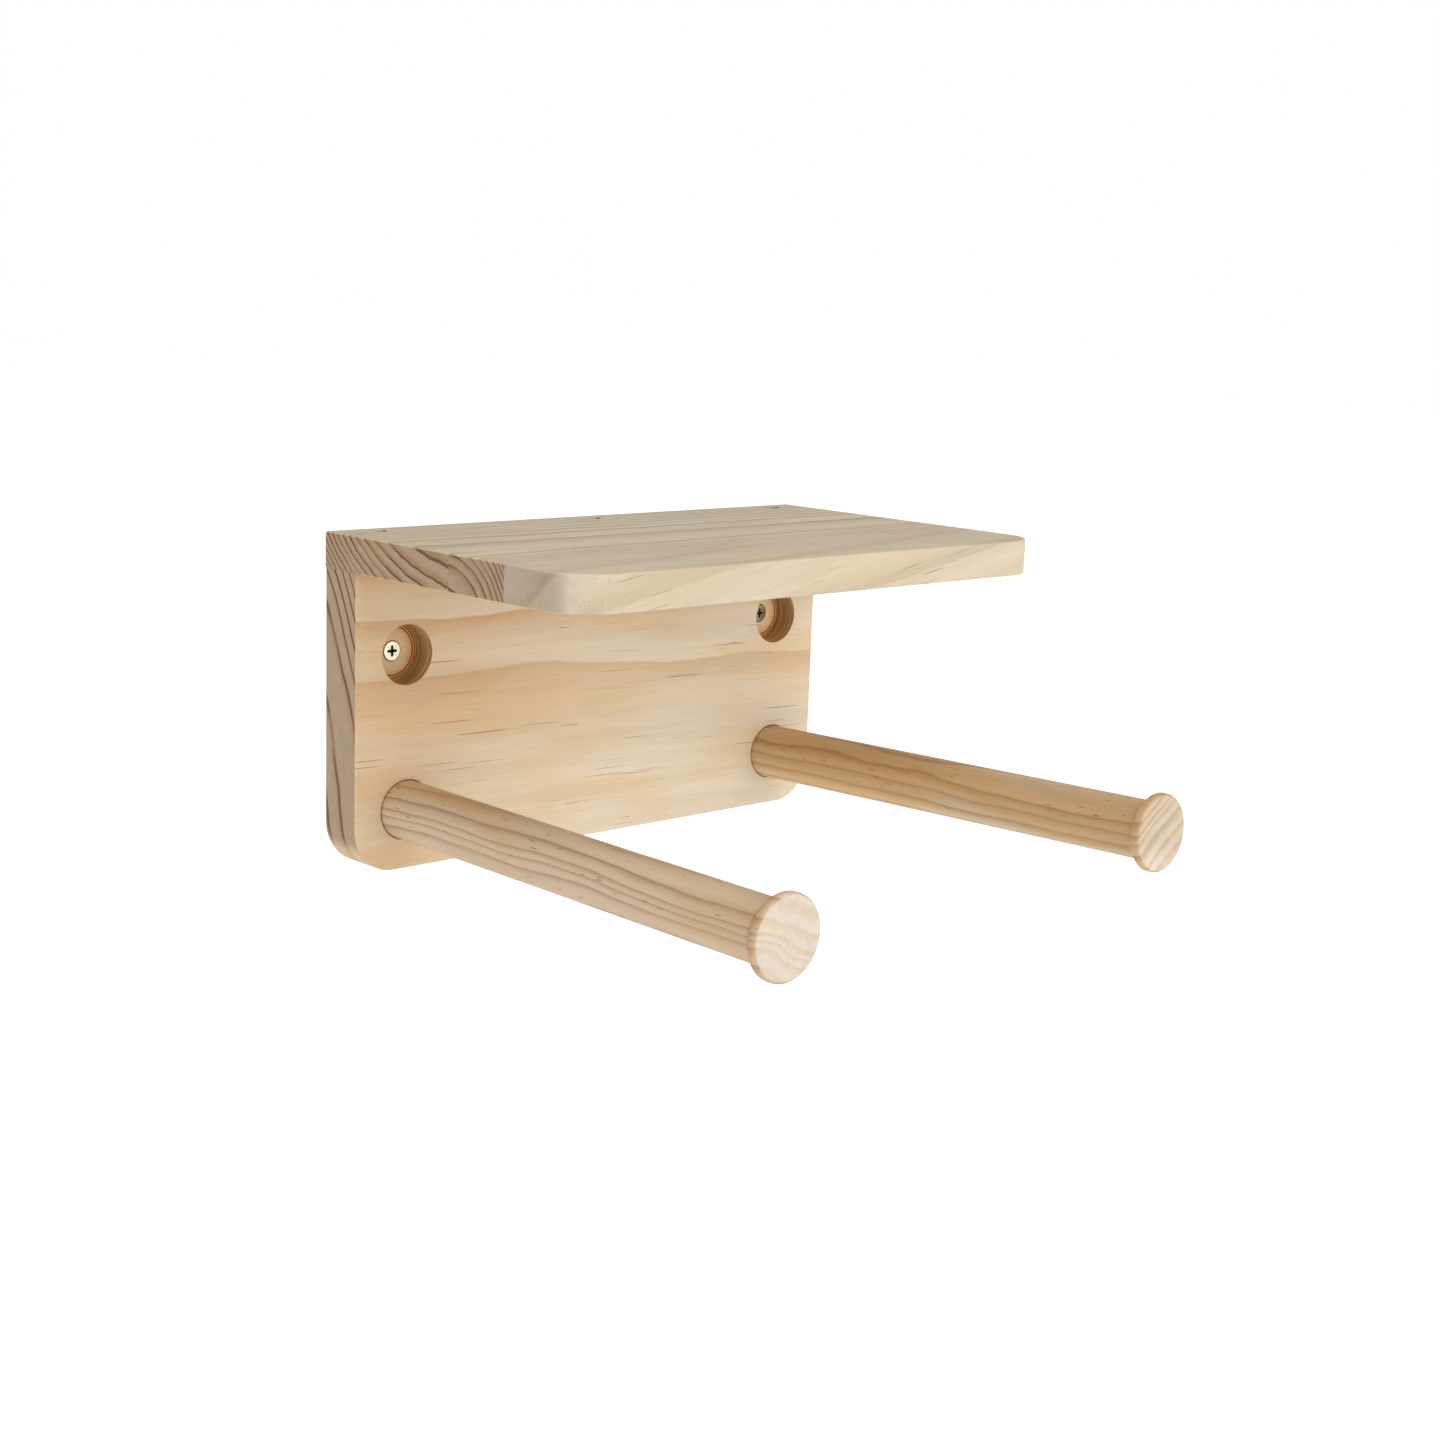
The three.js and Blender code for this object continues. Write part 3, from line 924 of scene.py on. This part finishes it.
# Three staves glued edge to edge, each from another part of a log
SHELF_JOINTS = (-100, -141)  # where they meet, as y in millimetres
SHELF_STAVES = [
    Grain(pivot=(0, -43, 60.5), outward=-55, bend=125.6, ring=5.7, tighten=0.0026, climb=0.3),
    Grain(
        pivot=(0, -118.4, 52.1), outward=126, bend=41.5, ring=4.8, tighten=0.006, climb=-0.5,
        tone=(0.97, 0.965, 0.97),
    ),
    Grain(
        pivot=(-160, -175.6, 59.3), outward=-135, bend=200, ring=23.4, climb=10,
        bold=0.42, tone=(1.18, 1.33, 1.6),
    ),
]
SHELF_LOOK = Look(
    early=(0.64, 0.545, 0.405),
    late=(0.34, 0.25, 0.14),
    warm=(0.97, 0.935, 0.87),
    end_early=(0.405, 0.288, 0.174),
    end_band=(0.345, 0.205, 0.102),
    end_late=(0.09, 0.036, 0.013),
    side=STREAK_RING, end=FINE_RING,
    seed=8, wander=1.8, ripple=0.9, uneven=0.12,
    pin_length=18, pin_width=0.38, pins=2.5,
)
RINGS_APART = 40.0  # between the counts of two staves, so that no ring of one is a ring of the next
FRONT_STAVE_TINT = (0.95, 0.95, 0.95)


def shelf_stain(nodes, wood):
    """The front stave is a little darker than the two behind it."""
    from_wall = nodes.split(millimetres(nodes))[1]
    front_stave = nodes.maths("LESS_THAN", from_wall, SHELF_JOINTS[-1])
    return nodes.mix(front_stave, wood, FRONT_STAVE_TINT, "MULTIPLY")


def stave_parts(nodes, place):
    """For each stave: the point in its log, (ring phase, boldness) as a vector, and its tone."""
    parts = []
    for number, grain in enumerate(SHELF_STAVES):
        local = along_grain(nodes, place, grain)
        phase = ring_phase(nodes, local, grain, SHELF_LOOK)
        phase = nodes.maths("ADD", phase, RINGS_APART * number)
        parts.append((local, nodes.join(phase, grain.bold, 0), grain.tone))
    return parts


def shelf_pine():
    nodes = Nodes("pine_shelf")
    place = millimetres(nodes)
    from_wall = nodes.split(place)[1]
    chosen, *further = stave_parts(nodes, place)
    for joint, parts in zip(SHELF_JOINTS, further):
        past = nodes.maths("LESS_THAN", from_wall, joint)
        chosen = [nodes.pick(past, old, new) for old, new in zip(chosen, parts)]
    local, rings, tone = chosen
    phase, bold = nodes.split(rings)[:2]
    return pine(nodes, SHELF_LOOK, local, phase, ALONG_X, bold, tone, stain_and_painted_light=shelf_stain)


# ---- Pine of the pegs --------------------------------------------------------------------------

PEG_GRAINS = {
    "left": Grain(pivot=(-129, -26, -79), outward=71.4, bend=160, ring=6, veer=-90),
    "right": Grain(
        pivot=(129, -26, -79), outward=125.3, bend=160, ring=7.4, tighten=0.003, veer=-90
    ),
}
PEG_LOOKS = {
    "left": Look(
        early=(0.62, 0.47, 0.32),
        late=(0.33, 0.20, 0.10),
        warm=(0.97, 0.88, 0.74),
        end_early=(0.645, 0.56, 0.455),
        end_band=(0.62, 0.51, 0.38),
        end_late=(0.60, 0.485, 0.345),
        side=PEG_RING, end=SOFT_RING,
        seed=5, wander=9.0, ripple=0.7, uneven=0.8,
        pin_length=4.5, pin_width=0.42, pins=2.2,
    ),
    "right": Look(
        early=(0.56, 0.395, 0.225),
        late=(0.33, 0.19, 0.08),
        warm=(0.98, 0.86, 0.70),
        end_early=(0.585, 0.455, 0.31),
        end_band=(0.55, 0.405, 0.255),
        end_late=(0.485, 0.335, 0.19),
        side=PEG_RING, end=SOFT_RING,
        seed=11, wander=4.5, ripple=0.6, uneven=0.8,
        pin_length=4.5, pin_width=0.42, pins=2.2,
    ),
}

# Distances in these tints, painted shade and painted light are in millimetres
# Painted shade on the flare behind the knob's face, between these distances
FLARE_FRONT = (1, 5)  # distances behind the knob's face between which the darkening grows
FLARE_BACK = (10.5, 9.5)  # and fades
FLARE_SHADE = (0.80, 0.80, 0.84)
# Painted light from below: the peg's underside is lightened between these heights
PEG_UNDERSIDE = (-76, -90)  # z
UNDERSIDE_PAINTED_LIGHT = (1.18, 1.26, 1.36)
PEG_FAR_END = (-40, -270)  # y
FAR_END_TINT = (0.98, 1.03, 1.13)


def painted_flare_shade(nodes, wood):
    """Paints shade onto the flare behind the knob's face."""
    behind_face = nodes.maths("SUBTRACT", nodes.split(millimetres(nodes))[1], (FRONT - PEG_OUT) / MM)
    grown = nodes.remap(behind_face, *FLARE_FRONT)
    kept = nodes.remap(behind_face, *FLARE_BACK)
    return nodes.mix(nodes.product(grown, kept), wood, FLARE_SHADE, "MULTIPLY")


def greyer_end_lit_below(nodes, wood):
    """Turns the wood from ochre at the wall to a greyer brown far from it, and paints light from below
    onto its underside.
    """
    y, z = nodes.split(millimetres(nodes))[1:]
    wood = nodes.mix(nodes.remap(z, *PEG_UNDERSIDE), wood, UNDERSIDE_PAINTED_LIGHT, "MULTIPLY")
    return nodes.mix(nodes.remap(y, *PEG_FAR_END), wood, FAR_END_TINT, "MULTIPLY")


PEG_TINTS_SHADE_AND_LIGHT = {"left": painted_flare_shade, "right": greyer_end_lit_below}

# ---- Screw metal -------------------------------------------------------------------------------

# Sizes and places in millimetres
CLOUD_SIZE = (1.6, 1.6, 1.6)
GRIT_SIZE = (0.25, 0.25, 0.25)
CLOUD_SPAN = (0.35, 0.65)
GRIT_SPAN = (0.3, 0.7)
GRIT_RELIEF = 0.02 * MM
# Painted shade and dark reflection on the screws to the right, growing with x
RIGHT_SCREW_SHADE = (0.22, 0.16, 0.085)  # the screws on the right are duller
RIGHT_SCREW_SHADE_SPAN = (60, 120, 0, 0.85)  # x


def zinc(name, bright, dull, roughness):
    """Plated steel, with painted shade on the screws to the right; the roughness is a range."""
    nodes = Nodes(name)
    place = millimetres(nodes)
    cloud = nodes.noise(nodes.vector("DIVIDE", place, CLOUD_SIZE), detail=3.0)
    grit = nodes.noise(nodes.vector("DIVIDE", place, GRIT_SIZE))
    colour = nodes.mix(nodes.remap(cloud, *CLOUD_SPAN), bright, dull)
    aside = nodes.split(place)[0]
    colour = nodes.mix(nodes.remap(aside, *RIGHT_SCREW_SHADE_SPAN), colour, RIGHT_SCREW_SHADE)
    return nodes.finish(
        colour, nodes.remap(grit, *GRIT_SPAN, *roughness), grit, GRIT_RELIEF, Metallic=1.0
    )


SCREW_METALS = [
    zinc("yellow_zinc", (0.93, 0.86, 0.66), (0.84, 0.74, 0.50), (0.16, 0.3)),
    # The second metal is near black: painted shade for the hollows of the cross recess and the marks
    zinc("recess_shade_zinc", (0.10, 0.085, 0.05), (0.05, 0.04, 0.025), (0.5, 0.7)),
]

# ---- Studio ------------------------------------------------------------------------------------

# Places are in metres
CAMERA_PLACE = (-0.7959, -0.9459, 0.1902)
CAMERA_TURN = (78.502, -2.037, -43.390)  # degrees
CAMERA_LENS = 57.37
CAMERA_SHIFT = (0.0019, 0.0153)
CAMERA_NEAREST = 0.01

LAMP_TARGET = (0, -0.12, -0.03)
LAMPS = {  # (place, width in metres, power in watts)
    "key": ((0.5, -2.3, 0.48), 1.8, 17.5),
    "top": ((0.1, -1.05, 1.8), 2.8, 26),
    "fill": ((-2.0, -0.35, 0.3), 1.2, 6),
}
AMBIENT = 0.45  # strength of the room's light

FLOOR_DROP = 1400 * MM  # the floor lies this far below the holder, which hangs on a wall
FLOOR_HALF = 30.0
FLOOR_GRAIN = (250, 250, 250)  # spots to the metre
FLOOR_GREY = (0.2, 0.8, 0.86, 0.88)
FLOOR_ROUGHNESS = 0.9
FLOOR_RELIEF = 0.01 * MM
FLOOR_GLOW = (0.15, 0.8)  # under the holder, and far from it, where the floor turns pure white
FLOOR_GLOW_REACH = (1.2, 2.4)


def add_camera():
    data = bpy.data.cameras.new("camera")
    data.lens = CAMERA_LENS
    data.shift_x, data.shift_y = CAMERA_SHIFT
    data.clip_start = CAMERA_NEAREST
    camera = linked("camera", data)
    camera.location = CAMERA_PLACE
    camera.rotation_euler = [math.radians(angle) for angle in CAMERA_TURN]
    bpy.context.scene.camera = camera


def add_lamp(name, place, size, power):
    """A round soft lamp that looks at the middle of the holder."""
    data = bpy.data.lights.new(name, "AREA")
    data.shape = "DISK"
    data.size = size
    data.energy = power
    lamp = linked(name, data)
    lamp.location = place
    aim = Vector(LAMP_TARGET) - Vector(place)
    lamp.rotation_euler = aim.to_track_quat("-Z", "Y").to_euler()


def floor_material():
    """Pale and matt, and bright enough far from the holder to meet the white room without a line."""
    nodes = Nodes("floor")
    place = nodes.add("ShaderNodeTexCoord", {}, "Object")
    grain = nodes.noise(nodes.vector("MULTIPLY", place, FLOOR_GRAIN))
    grey = nodes.remap(grain, *FLOOR_GREY)
    material = nodes.finish(nodes.join(grey, grey, grey), FLOOR_ROUGHNESS, grain, FLOOR_RELIEF)
    away = nodes.vector("LENGTH", nodes.vector("MULTIPLY", place, (1, 1, 0)))
    shader = nodes.tree.nodes["Principled BSDF"]
    nodes.feed(shader.inputs["Emission Strength"], nodes.remap(away, *FLOOR_GLOW_REACH, *FLOOR_GLOW))
    return material


def add_floor():
    height = cad_box[0][2] - FLOOR_DROP
    corners = [(-1, -1), (1, -1), (1, 1), (-1, 1)]
    points = [(x * FLOOR_HALF, y * FLOOR_HALF, height) for x, y in corners]
    mesh = mesh_from(points, [[0, 1, 2, 3]])
    mesh.materials.append(floor_material())
    linked("floor", mesh)


def add_world():
    """A white room: seen directly it is pure white, but its light on the holder is the ambient one."""
    world = bpy.data.worlds.new("studio")
    world.use_nodes = True
    tree = world.node_tree
    tree.nodes.clear()
    shades = []
    for strength in (AMBIENT, 1.0):
        background = tree.nodes.new("ShaderNodeBackground")
        background.inputs["Color"].default_value = (*WHITE, 1)
        background.inputs["Strength"].default_value = strength
        shades.append(background.outputs[0])
    seen = tree.nodes.new("ShaderNodeLightPath").outputs["Is Camera Ray"]
    mix = tree.nodes.new("ShaderNodeMixShader")
    output = tree.nodes.new("ShaderNodeOutputWorld")
    for socket, value in zip(mix.inputs, (seen, *shades)):
        tree.links.new(value, socket)
    tree.links.new(mix.outputs[0], output.inputs["Surface"])
    bpy.context.scene.world = world


# ---- The scene ---------------------------------------------------------------------------------

bpy.context.scene.view_settings.view_transform = "Standard"
add_camera()
add_world()
add_floor()
for name, (place, size, power) in LAMPS.items():
    add_lamp(name, place, size, power)

back_pine = one_stick("pine_back", BACK_LOOK, BACK_GRAIN, ALONG_X, back_stain_shade_and_light)
add_board("pine_back_board", back_mesh(), back_pine, "back_board")
add_board("pine_shelf_board", shelf_mesh(), shelf_pine(), "shelf_board")
for side in PEG_LEANS:
    peg = peg_mesh(side)
    name = f"pine_peg_{side}"
    use_materials(peg, [one_stick(name, PEG_LOOKS[side], PEG_GRAINS[side], ALONG_Y, PEG_TINTS_SHADE_AND_LIGHT[side])])
    add_piece(name, peg, f"{side}_peg")
for node, screw in SCREWS.items():
    add_piece(f"zinc_{node}", screw_mesh(screw), node)
